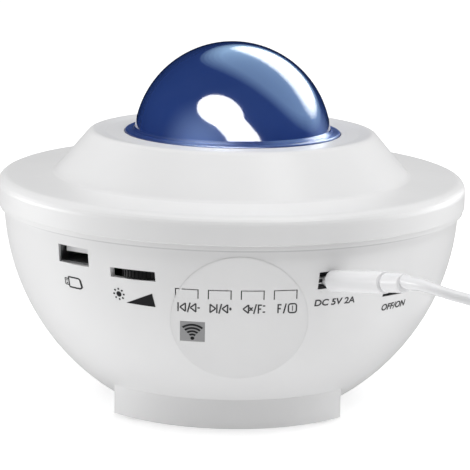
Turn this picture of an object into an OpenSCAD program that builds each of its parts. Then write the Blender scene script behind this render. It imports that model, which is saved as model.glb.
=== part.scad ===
// Star night light projector: a bowl-shaped lamp with a coloured dome, a loudspeaker in its
// foot and a control panel on the front (the -Y side). Millimetres, +Z up, the origin on the
// table under the centre of the bowl.

/* [Housing] */
// Outer radius of the sphere that the bowl follows
bowl_r = 81.8; // [78:0.2:88]
// Height of the seam between the bowl and the top cover
seam_z = 69.2; // [66:0.2:72]
// Drop of the seam below the bowl sphere's widest circle
seam_drop = 2; // [0.5:0.5:4]
// Wall thickness of the moulded housing
wall = 2.4; // [2:0.1:2.8]
// How far the brim stands out past the bowl
brim_overhang = 2.2; // [1.6:0.1:3]
// Rise of the brim's flat top above the seam
brim_rise = 11.1; // [10:0.1:13]
// Outer radius of the brim's top corner
brim_round = 3.6; // [2:0.2:4]
// Outer radius where the collar meets the brim
collar_base_r = 63.9; // [62:0.1:66]
// Outer radius of the collar's upper edge
collar_top_r = 50.9; // [50:0.1:53]
// Rise of the dished ring around the dome above the seam
ring_rise = 26.1; // [25:0.1:28]

/* [Foot] */
// Radius of the foot's curved front and back
foot_r = 55.7; // [52:0.1:60]
// Half the width between the foot's flat sides
foot_half_w = 39.5; // [38.5:0.1:42]
// Thickness of the foot's bottom plate
foot_plate = 3; // [2.6:0.1:4]
// How far the rubber pads stand out below the plate
pad_proud = 1; // [0.6:0.1:2]
// Radius of a rubber pad
pad_r = 5; // [4:0.2:5.4]
// Radius of a hole of the loudspeaker grille
grille_hole_r = 1.3; // [0.8:0.1:1.5]

/* [Dome] */
// Outer radius of the dome's sphere
dome_r = 35.5; // [34.6:0.1:36.5]
// Wall thickness of the dome
dome_wall = 2.2; // [1.4:0.1:2.4]
// Width of the dome's flange beyond its sphere
flange_w = 3.2; // [2.6:0.1:4]
// Thickness of the dome's flange
flange_t = 2; // [1.6:0.1:2.4]

/* [Keys] */
// Number of keys in the row
key_count = 4; // [2:1:4]
// Width of a key
key_w = 7; // [6:0.1:7.6]
// Height of a key
key_h = 3.8; // [3.4:0.1:4.6]
// Distance between the middles of two keys
key_pitch = 10.7; // [9:0.1:11]
// Gap around a key
key_gap = 0.35; // [0.25:0.05:0.5]
// Radius of the round film behind the key signs
film_r = 22.3; // [21.5:0.1:22.8]
// Thickness of the round film
film_t = 0.2; // [0.1:0.05:0.4]

/* [Side panels] */
// Width of the USB socket's metal shell
usb_w = 13.2; // [12.8:0.1:13.4]
// Height of the USB socket's metal shell
usb_h = 5.7; // [5.4:0.1:5.9]
// Radius of the brightness wheel
wheel_r = 7.5; // [6.6:0.1:7.6]
// Thickness of the brightness wheel
wheel_t = 2.5; // [2:0.1:2.8]
// Number of ribs around the brightness wheel
wheel_ribs = 36; // [24:1:40]
// Travel of the power switch's knob
switch_travel = 2.5; // [1.5:0.1:3]
// Upward lean of the power panel, which carries the jack and the switch
power_lean = 10.5; // [8:0.5:12]

/* [Optics] */
// Gear tooth module
tooth_m = 1; // [0.9:0.05:1.05]
// Teeth on the turning wheel
wheel_teeth = 60; // [56:4:60]
// Teeth on the motor's pinion
pinion_teeth = 12; // [11:1:13]
// Inner radius of the light tunnel
tunnel_r = 22; // [20:0.1:22]
// Number of colour lamps around the laser
lamp_count = 6; // [3:1:6]
// Radius of the laser module
laser_r = 6; // [5:0.1:6]
// Length of the laser module
laser_len = 28; // [20:1:34]

/* [Loudspeaker] */
// Outer radius of the loudspeaker's frame
speaker_r = 26; // [24:0.1:26.5]
// Radius of the loudspeaker's magnet
magnet_r = 16; // [13:0.1:17]
// Height of the loudspeaker's magnet
magnet_h = 5; // [4:0.1:7]

/* [Cable] */
// Diameter of the cable
cable_d = 3.5; // [3:0.1:3.5]
// Diameter of the power plug's grip
plug_d = 7.1; // [6.6:0.1:8]
// Length of the power plug's grip
plug_len = 28.2; // [24:0.2:30]

/* [Hidden] */

// Clearances
slip = 0.15;        // loose fit of one fixed part in another
run_fit = 0.05;     // radial clearance of a turning fit
clear = 0.3;        // air between parts that move past each other

// Levels of the housing
plate_top_z = pad_proud + foot_plate;
bowl_cz = seam_z + seam_drop;
bowl_in_r = bowl_r - wall;
rim_r = bowl_r + brim_overhang;
floor_z = plate_top_z + wall;
bead_h = 1.5;
bead_in = 0.6;
brim_z = seam_z + brim_rise;
kink_z = brim_z + 0.65;
ring_z = seam_z + ring_rise;
collar_top_z = ring_z + 0.9;
seat_z = ring_z - flange_t + 0.7;
ring_under_z = seat_z - wall + 0.2;
flange_r = dome_r + flange_w;
seat_r = flange_r + 0.4;
mouth_r = dome_r - 0.9;
collar_out = [collar_top_r - collar_base_r, collar_top_z - kink_z];
collar_n = [-collar_out[1], collar_out[0]] / norm(collar_out) * wall;
collar_slope = collar_out[0] / collar_out[1];
lip_in_r = bowl_in_r + 0.1;
tongue_t = 1.2;
tongue_h = 2;

// Screw wells and posts that join the bowl to the top cover
well_xy = 30;
well_r = 4.5;
well_bore_r = 3.3;
well_top_z = seam_z - 9.2;
post_r = 3.5;
pilot_r = 1.25;
shank_r = 1.5;
well_end = 2;
stand_screw_x = 33;
stand_screw_y = 14;
pad_x = 30;
pad_y = 38;
pad_sink = 1;

// Panel positions, as directions seen from above (0 is -Y, positive towards +X)
key_row_x = 2.2;
key_z = seam_z - 17.8;
key_board_depth = bowl_r - 16.3;
board_t = 1.6;
film_x = 3.4;
film_z = seam_z - 24.9;
ir_x = -11.9;
ir_z = seam_z - 29.05;
ir_w = 8.2;
ir_h = 7.5;
key_board_x = key_row_x - 0.1;
key_board_w = (key_count - 1) * key_pitch + key_w + 0.3;
key_board_h = 23;
key_board_z = key_z - 4.9;
// Side boards, each as [left, low, right, high] in its panel's own axes, with its depth and
// the room that it leaves beside the key board, which sets how far its panel is turned
data_board_box = [-20, -10.7, 16, 9.7];
data_board_y = 16;
data_board_gap = 2.35;
data_z = seam_z - 10.5;
data_az = -side_turn(data_board_box[2], panel_r(data_z) - data_board_y - board_t,
    key_board_w / 2 - key_board_x + data_board_gap);
power_board_box = [-17, -12, 20, 11];
power_board_y = 14.5;
power_board_gap = 0.25;
power_z = seam_z - 11.2;
power_az = side_turn(-power_board_box[0], panel_r(power_z) - power_board_y - board_t,
    key_board_w / 2 + key_board_x + power_board_gap);
usb_x = -11.2;
usb_up = 3.4;
usb_in = 2.4;
usb_metal = 0.35;
wheel_x = 12.25;
wheel_up = 0.05;
wheel_out = 0.3;
hub_r = 2;
slot_w = 16.1;
slot_h = 3.3;
jack_x = -14;
jack_body_x = jack_x - 0.55;
jack_w = 6.7;
jack_up = 0.4;
jack_h = 5.2;
jack_window_w = jack_w + 0.4;
jack_window_h = jack_h + 0.4;
barrel_r = 1.75;
barrel_len = 10;
jack_bore_r = barrel_r + 0.1;
plug_face_y = 0.4;
switch_x = 13.4;
switch_up = -5.9;
switch_case_w = 8.6;
switch_case_h = 4.4;
switch_case_d = 4.7;
switch_face_y = power_board_y - switch_case_d;
knob_w = 4;
knob_h = 3;
switch_slot_w = 9.3;
switch_slot_h = 4;
data_posts = [[-17, -8.5], [12.25, 6.8]];
power_posts = [[-13.5, -9], [15.5, 7]];
key_posts = [[-1, key_z - 12.4], [18.5, key_z - 11.4]];
board_post_r = 2.4;

// Optics
tray_z = seam_z + 4.8;
tray_t = 2;
tray_post_r = collar_base_r - 7.9;
tray_r = tray_post_r + 4;
vent_r = tray_post_r - 12;
tunnel_wall = 2;
tunnel_out_r = tunnel_r + tunnel_wall;
shoulder_z = tray_z + 10.4;
shoulder_r = tunnel_out_r + 2.5;
tunnel_top_z = shoulder_z + 4;
gear_t = 4;
gear_z = shoulder_z + 0.2;
wheel_pitch_r = tooth_m * wheel_teeth / 2;
pinion_pitch_r = tooth_m * pinion_teeth / 2;
motor_y = wheel_pitch_r + pinion_pitch_r;
lens_r = tunnel_out_r + 2.5;
lens_t = 2;
led_board_r = wheel_pitch_r - 3.5;
led_ring_r = 13;
shaft_r = 1;
motor_r = 8;
motor_len = 14;
motor_plate_t = 1.6;
motor_ear_x = 13;
laser_low_z = tray_z + 10 - laser_len;

// Loudspeaker
cone_r = speaker_r - 6.5;
hole_r = speaker_r - 3.4;
flange_h = 1.4;
top_plate_z = floor_z + 10.6;
pole_r = 6.2;
gap_r = 7.4;
main_board_z = floor_z + 23.6;
main_board_r = 36;
main_post_r = 31;

// Cable
jack_face_y = 3.3;
cable_r = cable_d / 2;
collar_r = plug_d / 2 - 0.45;
collar_len = 8.8;
groove = 0.8;
groove_r = plug_d / 2 - 1.1;
relief_from = plug_len + groove + collar_len - plug_face_y;
relief_r = cable_r + 0.6;
relief_len = 4.5;
coil_x = 114;
coil_y = -45;
coil_z = 0.6;
coil_turns_wide = 3;
coil_layers = 2;
coil_mid_r = 21;
layer_rise = 3.1;
coil_half_w = coil_turns_wide * cable_d / 2;
coil_h = cable_d + (coil_layers - 1) * layer_rise;
tie_t = 0.6;
tie_w = 5;
// The cable's way from the power plug down to the coil on the table
run_route = [[56.5, -108.8, 65.5], [58.5, -111.5, 65.9], [61.1, -114, 65.6],
    [64.4, -116, 64.9], [68.4, -117.4, 64], [73, -117.8, 62.9], [78, -117.2, 61.1],
    [84, -115.6, 58.2], [90.4, -113.2, 53.8], [97.4, -109.8, 48], [104.6, -105.4, 40.8],
    [111.6, -100.2, 32.6], [118.4, -94, 24], [124.8, -86.6, 16], [130.6, -78, 9.2],
    [135, -68, 4.8], [137.6, -57, 2.8], [138.5, -45, 2.35]];
// The cable's way from the top of the coil to the USB plug
tail_route = [[138.5, -45, 5.45], [138.2, -36, 4.9], [136.5, -26, 3.2], [133, -17, 2.2],
    [128.5, -8.5, 2.1], [124.5, 0.5, 2.9], [122, 9, 3.9], [121, 14, 4]];
usb_plug_at = [121, 14, 4];
usb_plug_turn = 7;
grip_w = 15.5;
grip_h = 8;
grip_len = 21;
tip_w = 12;
tip_h = 4.5;
tip_len = 12;

// Colours
shell_white = [0.93, 0.93, 0.94];
dome_blue = [0.1, 0.18, 0.5, 0.9];
board_green = [0.1, 0.35, 0.2];
black = [0.06, 0.06, 0.07];
steel = [0.75, 0.76, 0.78];
brass = [0.8, 0.65, 0.3];
clear_lens = [0.85, 0.9, 0.95, 0.5];
grey = [0.45, 0.46, 0.48];

$fn = 96;

// ---- Helper functions -----------------------------------------------------------------

function unit(v) = v / norm(v);
function flat(list) = [for (part = list) each part];
function panel_r(z, r = bowl_r) = sqrt(r * r - (z - bowl_cz) * (z - bowl_cz));
function panel_depth(x, z, r = bowl_r) = sqrt(pow(panel_r(z, r), 2) - x * x);
// The turn that puts a board's inner back corner at that distance from the middle plane
function side_turn(half_w, depth, edge) = asin(edge / norm([depth, half_w]))
    + atan2(half_w, depth);
function collar_in_r(z) = collar_base_r + collar_n[0]
    + (z - kink_z - collar_n[1]) * collar_slope;

// The arc, as points, that rounds the corner b between a and c with radius r
function corner(a, b, c, r, n = 6) =
    let (u = unit(a - b), v = unit(c - b), half = acos(u * v) / 2)
    let (middle = b + unit(u + v) * r / sin(half))
    let (from = b + u * r / tan(half) - middle, to = b + v * r / tan(half) - middle)
    let (a0 = atan2(from[1], from[0]), turn = atan2(to[1], to[0]) - a0)
    let (sweep = turn > 180 ? turn - 360 : turn < -180 ? turn + 360 : turn)
    [for (i = [0:n]) middle + r * [cos(a0 + sweep * i / n), sin(a0 + sweep * i / n)]];

// A closed outline whose corners [x, y, radius] are rounded
function rounded(p, n = 6) = flat([for (i = [0:len(p) - 1])
    let (a = p[(i + len(p) - 1) % len(p)], b = p[i], c = p[(i + 1) % len(p)])
    b[2] == 0 ? [[b[0], b[1]]]
        : corner([a[0], a[1]], [b[0], b[1]], [c[0], c[1]], b[2], n)]);

// Trapezoid teeth around a wheel with count teeth
function tooth_outline(count, m) = let (r = m * count / 2)
    flat([for (i = [0:count - 1]) let (a = i * 360 / count, s = 180 / PI)
        [for (p = [[r - 1.25 * m, -0.95 * m], [r + 0.9 * m, -0.34 * m],
            [r + 0.9 * m, 0.34 * m], [r - 1.25 * m, 0.95 * m]])
            p[0] * [cos(a + p[1] / r * s), sin(a + p[1] / r * s)]]]);

// A smooth curve through route points, with one more point between each two
function between(a, b, c, d) = (9 * (b + c) - a - d) / 16;
function smooth(p) = let (last = len(p) - 1)
    concat(flat([for (i = [0:last - 1])
        [p[i], between(p[max(i - 1, 0)], p[i], p[i + 1], p[min(i + 2, last)])]]), [p[last]]);

// ---- Helper shapes --------------------------------------------------------------------

// A tube swept along points
module tube(p, r, sides = 8) {
    last = len(p) - 1;
    rings = [for (i = [0:last])
        let (t = unit(p[min(i + 1, last)] - p[max(i - 1, 0)]))
        let (side = unit(cross(t, abs(t[2]) > 0.97 ? [1, 0, 0] : [0, 0, 1])))
        let (up = cross(side, t))
        for (k = [0:sides - 1])
            p[i] + r * (cos(k * 360 / sides) * side + sin(k * 360 / sides) * up)];
    walls = flat([for (i = [0:last - 1], k = [0:sides - 1])
        let (a = i * sides + k, b = i * sides + (k + 1) % sides)
        [[a, b, b + sides], [a, b + sides, a + sides]]]);
    first_end = [for (k = [0:sides - 1]) sides - 1 - k];
    last_end = [for (k = [0:sides - 1]) last * sides + k];
    polyhedron(rings, concat(walls, [first_end, last_end]));
}

// A ball of the bowl's shape, up to the seam
module bowl_ball(r) translate([0, 0, bowl_cz]) sphere(r = r, $fn = 128);

// A box centred on x and z, from y1 to y2
module block(x, z, w, h, y1, y2)
    translate([x - w / 2, min(y1, y2), z - h / 2]) cube([w, abs(y2 - y1), h]);

// A rod along Y from y1 to y2
module rod(x, z, r, y1, y2)
    translate([x, min(y1, y2), z]) rotate([-90, 0, 0]) cylinder(r = r, h = abs(y2 - y1));

// Puts children on a side panel: origin on the bowl's face, -Y pointing out, +X to the right
module on_panel(az, z, lean = 0)
    rotate([0, 0, az]) translate([0, -panel_r(z), z]) rotate([-lean, 0, 0]) children();
module on_data_panel() on_panel(data_az, data_z) children();
module on_power_panel() on_panel(power_az, power_z, power_lean) children();

// A pan-head screw that points along +Z from the underside of its head
module screw(head_r, head_h, r, len) {
    difference() {
        translate([0, 0, -head_h]) cylinder(r = head_r, h = head_h);
        translate([-head_r * 0.6, -0.3, -head_h - 1]) cube([head_r * 1.2, 0.6, 1.5]);
        translate([-0.3, -head_r * 0.6, -head_h - 1]) cube([0.6, head_r * 1.2, 1.5]);
    }
    cylinder(r = r, h = len);
}

module at_wells() for (x = [-1, 1], y = [-1, 1]) translate([x * well_xy, y * well_xy, 0])
    children();
module at_tray_posts() for (a = [45:90:315]) rotate([0, 0, a]) translate([tray_post_r, 0, 0])
    children();
module at_main_posts() for (a = [0:90:270]) rotate([0, 0, a]) translate([main_post_r, 0, 0])
    children();
module at_speaker_ears() for (a = [45:90:315]) rotate([0, 0, a])
    translate([speaker_r + 1, 0, 0]) children();
module at_stand_screws() for (x = [-1, 1], y = [-1, 1])
    translate([x * stand_screw_x, y * stand_screw_y, 0]) children();
module at_pads() for (x = [-1, 1], y = [-1, 1]) translate([x * pad_x, y * pad_y, 0]) children();

function key_x(i) = key_row_x + (i - (key_count - 1) / 2) * key_pitch;
// The opening in the wall around key i
module key_opening(i, gap = key_gap)
    translate([key_x(i) - key_w / 2 - gap, -rim_r, key_z - min(gap, 0.1)])
        cube([key_w + 2 * gap, rim_r / 2, key_h + gap + min(gap, 0.1)]);

// ---- Housing --------------------------------------------------------------------------

cover_outside = [[rim_r - bead_in, seam_z, 0], [rim_r - bead_in, seam_z + bead_h, 0],
    [rim_r, seam_z + bead_h + 0.3, 0], [rim_r, brim_z, brim_round],
    [collar_base_r, kink_z, 2.5], [collar_top_r, collar_top_z, 3],
    [collar_top_r - 5.5, ring_z, 1.5], [seat_r, ring_z, 0]];
cover_inside = [[seat_r, seat_z, 0], [mouth_r, seat_z, 0], [mouth_r, ring_under_z, 0],
    [collar_in_r(ring_under_z), ring_under_z, 1],
    [collar_in_r(kink_z - wall), kink_z - wall, 2], [rim_r - wall, brim_z - wall, 1.5],
    [rim_r - wall, seam_z + tongue_h + 0.2, 0], [lip_in_r, seam_z + tongue_h + 0.2, 0],
    [lip_in_r, seam_z, 0]];

module top_cover() color(shell_white) {
    rotate_extrude($fn = 180) polygon(rounded(concat(cover_outside, cover_inside)));
    // Long posts that take the case screws
    difference() {
        at_wells() translate([0, 0, well_top_z])
            cylinder(r = post_r, h = ring_under_z - well_top_z + 0.4);
        at_wells() translate([0, 0, well_top_z - 1]) cylinder(r = pilot_r, h = 13);
    }
    // Short posts that carry the optics tray
    difference() {
        intersection() {
            at_tray_posts() translate([0, 0, tray_z + tray_t])
                cylinder(r = post_r, h = ring_under_z - tray_z - tray_t);
            rotate_extrude($fn = 180) polygon([[0, tray_z], [rim_r, tray_z],
                [collar_base_r + collar_n[0] / 2, kink_z + collar_n[1] / 2],
                [collar_top_r + collar_n[0] / 2, collar_top_z + collar_n[1] / 2],
                [0, ring_z]]);
        }
        at_tray_posts() translate([0, 0, tray_z]) cylinder(r = pilot_r, h = 8);
    }
}

module bowl_shell() color(shell_white) difference() {
    union() {
        difference() {
            bowl_ball(bowl_r);
            difference() {
                bowl_ball(bowl_in_r);
                translate([-rim_r, -rim_r, -rim_r]) cube([2 * rim_r, 2 * rim_r, rim_r + floor_z]);
            }
            translate([-rim_r, -rim_r, seam_z]) cube([2 * rim_r, 2 * rim_r, rim_r * 2]);
        }
        // Tongue that centres the top cover
        translate([0, 0, seam_z - 3]) difference() {
            cylinder(r = bowl_in_r - 0.3, h = 3 + tongue_h - 0.1);
            translate([0, 0, -1]) cylinder(r = bowl_in_r - 0.3 - tongue_t, h = 10);
        }
        // Screw wells and board posts, trimmed to the bowl's own shape
        intersection() {
            bowl_ball(bowl_r - wall / 2);
            union() {
                at_wells() translate([0, 0, plate_top_z]) cylinder(r = well_r,
                    h = well_top_z - plate_top_z);
                at_main_posts() translate([0, 0, plate_top_z]) cylinder(r = 3,
                    h = main_board_z - plate_top_z);
                at_stand_screws() translate([0, 0, plate_top_z]) cylinder(r = 3.2, h = 10);
                on_data_panel() for (p = data_posts)
                    rod(p[0], p[1], board_post_r, -4, data_board_y);
                on_power_panel() for (p = power_posts)
                    rod(p[0], p[1], board_post_r, -4, power_board_y);
                for (p = key_posts) rod(p[0], p[1], board_post_r, -rim_r, -key_board_depth);
            }
        }
    }
    // Flat underside
    translate([-rim_r, -rim_r, plate_top_z - rim_r]) cube([2 * rim_r, 2 * rim_r, rim_r]);
    // Hole under the loudspeaker
    translate([0, 0, -1]) cylinder(r = hole_r, h = floor_z + 2);
    // Bores of the wells and posts
    at_wells() translate([0, 0, -1]) cylinder(r = well_bore_r, h = well_top_z - well_end + 1);
    at_wells() cylinder(r = shank_r + slip, h = well_top_z + 1);
    at_main_posts() translate([0, 0, main_board_z - 9]) cylinder(r = 1, h = 10);
    at_stand_screws() translate([0, 0, -1]) cylinder(r = pilot_r, h = plate_top_z + 10);
    at_speaker_ears() cylinder(r = 1, h = floor_z + 1);
    on_data_panel() for (p = data_posts)
        rod(p[0], p[1], 0.9, data_board_y - 7, data_board_y + 1);
    on_power_panel() for (p = power_posts)
        rod(p[0], p[1], 0.9, power_board_y - 7, power_board_y + 1);
    for (p = key_posts) rod(p[0], p[1], 0.9, -key_board_depth - 4, -key_board_depth + 1);
    // Openings of the control panel
    for (i = [0:key_count - 1]) key_opening(i);
    block(ir_x, ir_z, ir_w, ir_h, -rim_r, -bowl_r / 2);
    on_data_panel() {
        block(usb_x, usb_up, usb_w + 0.4, usb_h + 0.4, -8, data_board_y - 4);
        block(wheel_x, wheel_up, slot_w, slot_h, -8, data_board_y - 4);
    }
    on_power_panel() {
        block(jack_body_x, jack_up, jack_window_w, jack_window_h, -8, power_board_y - 6);
        block(switch_x, switch_up, switch_slot_w, switch_slot_h, -8, power_board_y - 6);
    }
}

module foot_outline(inset = 0) intersection() {
    circle(r = foot_r - inset, $fn = 160);
    square([2 * (foot_half_w - inset), 2 * foot_r], center = true);
}

module base_stand() color(shell_white) difference() {
    translate([0, 0, pad_proud]) linear_extrude(bowl_cz - pad_proud) foot_outline();
    // The bowl stands in the foot
    difference() {
        bowl_ball(bowl_r);
        translate([-rim_r, -rim_r, plate_top_z - rim_r]) cube([2 * rim_r, 2 * rim_r, rim_r]);
    }
    translate([0, 0, plate_top_z]) linear_extrude(bowl_cz) foot_outline(wall);
    // Loudspeaker grille: rings of holes in the plate
    translate([0, 0, -1]) cylinder(r = grille_hole_r, h = plate_top_z + 2, $fn = 24);
    for (ring = [1:4], k = [0:6 * ring - 1]) rotate([0, 0, k * 60 / ring])
        translate([ring * 4.6, 0, -1]) cylinder(r = grille_hole_r, h = plate_top_z + 2, $fn = 24);
    at_stand_screws() translate([0, 0, -1]) cylinder(r = shank_r + slip, h = plate_top_z + 2);
    at_stand_screws() translate([0, 0, -1]) cylinder(r = 3.1, h = 1 + pad_proud + 1.6);
    at_pads() translate([0, 0, -1]) cylinder(r = pad_r + slip, h = 1 + pad_proud + pad_sink);
}

module foot_pads() color(grey) at_pads() rotate_extrude() polygon(rounded([[0, 0, 0],
    [pad_r, 0, 0.5], [pad_r, pad_proud + pad_sink, 0], [0, pad_proud + pad_sink, 0]], 3));

module stand_screws() color(steel) at_stand_screws() translate([0, 0, pad_proud + 1.6])
    screw(2.8, 1.4, pilot_r - 0.02, 9);

module case_screws() color(steel) at_wells() translate([0, 0, well_top_z - well_end])
    screw(2.9, 2, pilot_r - 0.02, 11);

module dome_lens() color(dome_blue) {
    dome_cz = ring_z - 3.2;
    difference() {
        union() {
            intersection() {
                translate([0, 0, dome_cz]) sphere(r = dome_r, $fn = 128);
                translate([0, 0, seat_z]) cylinder(r = dome_r + 1, h = dome_r * 2);
            }
            // Flange, with a chamfer up to the dome
            rotate_extrude($fn = 180) polygon(rounded([[dome_r - dome_wall / 2, seat_z, 0],
                [flange_r, seat_z, 0], [flange_r, seat_z + flange_t, 0.6],
                [dome_r + 0.5, seat_z + flange_t, 0],
                [dome_r - 0.6, seat_z + flange_t + 1.4, 0],
                [dome_r - dome_wall / 2, seat_z + flange_t + 1.4, 0]]));
            // Spigot in the mouth of the cover, with snap hooks under its ledge
            translate([0, 0, ring_under_z - 2]) cylinder(r = mouth_r - 0.3,
                h = seat_z - ring_under_z + 2.1);
            for (a = [0:90:270]) rotate([0, 0, a + 30]) translate([mouth_r - 2, -3,
                ring_under_z - 1.6]) cube([2.8, 6, 1.4]);
        }
        translate([0, 0, dome_cz]) sphere(r = dome_r - dome_wall, $fn = 128);
    }
}

// ---- Front panel ----------------------------------------------------------------------

module label_film() color([0.9, 0.9, 0.9, 0.6]) difference() {
    intersection() {
        difference() {
            bowl_ball(bowl_r + film_t);
            bowl_ball(bowl_r);
        }
        rod(film_x, film_z, film_r, -rim_r - 5, -bowl_r / 2);
    }
    for (i = [0:key_count - 1]) key_opening(i);
    block(ir_x, ir_z, ir_w, ir_h, -rim_r - 5, -bowl_r / 2);
}

module ir_window() color([0.35, 0.35, 0.37]) intersection() {
    difference() {
        bowl_ball(bowl_r + film_t);
        bowl_ball(bowl_in_r);
    }
    block(ir_x, ir_z, ir_w - 0.1, ir_h - 0.1, -rim_r - 5, -bowl_r / 2);
}

stem_z = key_z + key_h - 1.2;
plunger_depth = key_board_depth + 7;
module key(i) color(shell_white) {
    intersection() {
        difference() {
            bowl_ball(bowl_r + film_t);
            bowl_ball(bowl_in_r);
        }
        key_opening(i, 0);
    }
    // Stem that presses the switch behind the key
    rod(key_x(i), stem_z, 1.1, -panel_depth(key_x(i), stem_z, bowl_in_r) - 0.6,
        -plunger_depth - 0.3);
}
module key_1() key(0);
module key_2() key(1);
module key_3() key(2);
module key_4() key(3);

module key_board() color(board_green) difference() {
    block(key_board_x, key_board_z, key_board_w, key_board_h, -key_board_depth,
        -key_board_depth + board_t);
    for (p = key_posts) rod(p[0], p[1], 1.1, -key_board_depth - 1, -key_board_depth + board_t + 1);
}

module tact_switches() for (i = [0:key_count - 1]) {
    color(steel) block(key_x(i), stem_z, 6, 6, -key_board_depth - 3.5, -key_board_depth);
    color(black) rod(key_x(i), stem_z, 1.7, -plunger_depth, -key_board_depth - 3.5);
}

module ir_receiver() color(black) {
    block(ir_x, ir_z, 5.6, 6.8, -key_board_depth - 3.4, -key_board_depth);
    intersection() {
        translate([ir_x, -key_board_depth - 3, ir_z]) sphere(r = 2.4, $fn = 32);
        block(ir_x, ir_z, 6, 6, -key_board_depth - 8, -key_board_depth - 3.4);
    }
}

// ---- Data panel: USB socket and brightness wheel ---------------------------------------

// A side panel's board at depth y, with holes for its screws
module side_board(box, y, posts) difference() {
    translate([box[0], y, box[1]]) cube([box[2] - box[0], board_t, box[3] - box[1]]);
    for (p = posts) rod(p[0], p[1], 1.1, y - 1, y + board_t + 1);
}
module data_board() color(board_green) on_data_panel()
    side_board(data_board_box, data_board_y, data_posts);

module usb_shell() color(steel) on_data_panel() difference() {
    block(usb_x, usb_up, usb_w, usb_h, usb_in, data_board_y);
    block(usb_x, usb_up, usb_w - 2 * usb_metal, usb_h - 2 * usb_metal, usb_in - 1,
        data_board_y - 0.5);
}

module usb_tongue() color("white") on_data_panel()
    block(usb_x, usb_up + 1.2, usb_w - 2 * usb_metal - 1.2, 1.8, usb_in + 2, data_board_y - 0.5);

wheel_cy = panel_r(data_z) - panel_depth(wheel_x, data_z) + wheel_r - wheel_out;
module brightness_wheel() color(black) on_data_panel() translate([wheel_x, wheel_cy, wheel_up]) {
    difference() {
        translate([0, 0, -wheel_t / 2]) cylinder(r = wheel_r, h = wheel_t);
        for (k = [0:wheel_ribs - 1]) rotate([0, 0, k * 360 / wheel_ribs])
            translate([wheel_r - 0.35, -0.3, -wheel_t / 2 - 1]) cube([1, 0.6, wheel_t + 2]);
    }
    translate([0, 0, -wheel_t / 2 - 2]) cylinder(r = hub_r, h = 2.5);
}

module pot_case() color(grey) on_data_panel() difference() {
    translate([wheel_x - 4.5, wheel_cy - 2.1 - 0.9, wheel_up - wheel_t / 2 - 3.4])
        cube([9, data_board_y - wheel_cy + 3, 3]);
    translate([wheel_x, wheel_cy, wheel_up - wheel_t / 2 - 2.2])
        cylinder(r = hub_r + run_fit, h = 3);
}

// ---- Power panel: jack and slide switch ------------------------------------------------

module power_board() color(board_green) on_power_panel()
    side_board(power_board_box, power_board_y, power_posts);

module dc_jack() color(black) on_power_panel() difference() {
    block(jack_body_x, jack_up, jack_w, jack_h, jack_face_y, power_board_y);
    rod(jack_x, 0, jack_bore_r, jack_face_y - 1, power_board_y - 2);
    // Notches for the spring contacts
    for (z = [-0.9, 1.5]) block(jack_body_x, z, jack_w + 1, 0.6, jack_face_y - 1,
        jack_face_y + 1.2);
}

module slide_switch_case() color(steel) on_power_panel() difference() {
    block(switch_x, switch_up, switch_case_w, switch_case_h, switch_face_y, power_board_y);
    block(switch_x, switch_up, knob_w + switch_travel + 2 * clear, knob_h - 0.4,
        switch_face_y - 1, switch_face_y + 1.6);
}

module switch_knob() color(black) on_power_panel() {
    x = switch_x - switch_travel / 2;
    block(x, switch_up, knob_w, knob_h - 1, switch_face_y + 1.4, 4.4);
    for (k = [-1:1]) block(x + k * 1.3, switch_up, 0.7, knob_h - 1, 3.9, 4.5);
}

module board_screws() color(steel) {
    on_data_panel() for (p = data_posts) translate([p[0], data_board_y + board_t, p[1]])
        rotate([90, 0, 0]) screw(2, 1.3, 0.88, 7);
    on_power_panel() for (p = power_posts) translate([p[0], power_board_y + board_t, p[1]])
        rotate([90, 0, 0]) screw(2, 1.3, 0.88, 7);
    for (p = key_posts) translate([p[0], -key_board_depth + board_t, p[1]])
        rotate([90, 0, 0]) screw(2, 1.3, 0.88, 4.5);
}

// ---- Optics ---------------------------------------------------------------------------

module optics_tray() color(grey) difference() {
    union() {
        translate([0, 0, tray_z]) cylinder(r = tray_r, h = tray_t);
        translate([0, 0, tray_z]) cylinder(r = shoulder_r, h = shoulder_z - tray_z);
        translate([0, 0, tray_z]) cylinder(r = tunnel_out_r, h = tunnel_top_z - tray_z);
    }
    translate([0, 0, tray_z - 1]) cylinder(r = tunnel_r, h = tunnel_top_z - tray_z + 2);
    at_wells() translate([0, 0, tray_z - 1]) cylinder(r = post_r + 0.5, h = tray_t + 2);
    at_tray_posts() translate([0, 0, tray_z - 1]) cylinder(r = shank_r, h = tray_t + 2);
    translate([0, motor_y, tray_z - 1]) cylinder(r = 4, h = tray_t + 2);
    for (x = [-1, 1]) translate([x * motor_ear_x, motor_y, tray_z - 1])
        cylinder(r = 1, h = tray_t + 2);
    // Vents over the boards
    for (a = [-150, -110, -70, -30]) rotate([0, 0, a]) translate([vent_r, -5, tray_z - 1])
        cube([5, 10, tray_t + 2]);
}

module tray_screws() color(steel) at_tray_posts() translate([0, 0, tray_z])
    screw(2.8, 1.6, pilot_r - 0.02, 8);

module led_board() color([0.85, 0.86, 0.88]) difference() {
    translate([0, 0, tray_z - board_t]) cylinder(r = led_board_r, h = board_t);
    translate([0, 0, tray_z - board_t - 1]) cylinder(r = laser_r + 0.4, h = board_t + 2);
}

module at_lamps() for (k = [0:lamp_count - 1]) rotate([0, 0, k * 360 / lamp_count + 30])
    translate([led_ring_r, 0, tray_z]) children();

module led_chips() color([0.95, 0.9, 0.6]) at_lamps() translate([-2.5, -2.5, 0])
    cube([5, 5, 1.6]);

module led_lenses() color(clear_lens) at_lamps() translate([0, 0, 1.6])
    cylinder(r1 = 3, r2 = 5.4, h = 7.4);

module laser_holder() color(grey) difference() {
    union() {
        translate([0, 0, tray_z - board_t - 10]) cylinder(r = laser_r + 1.6, h = 10);
        translate([0, 0, tray_z - board_t - 1.6]) cylinder(r = laser_r + 6, h = 1.6);
    }
    translate([0, 0, tray_z - board_t - 11]) cylinder(r = laser_r + 0.1, h = 13);
}

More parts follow.
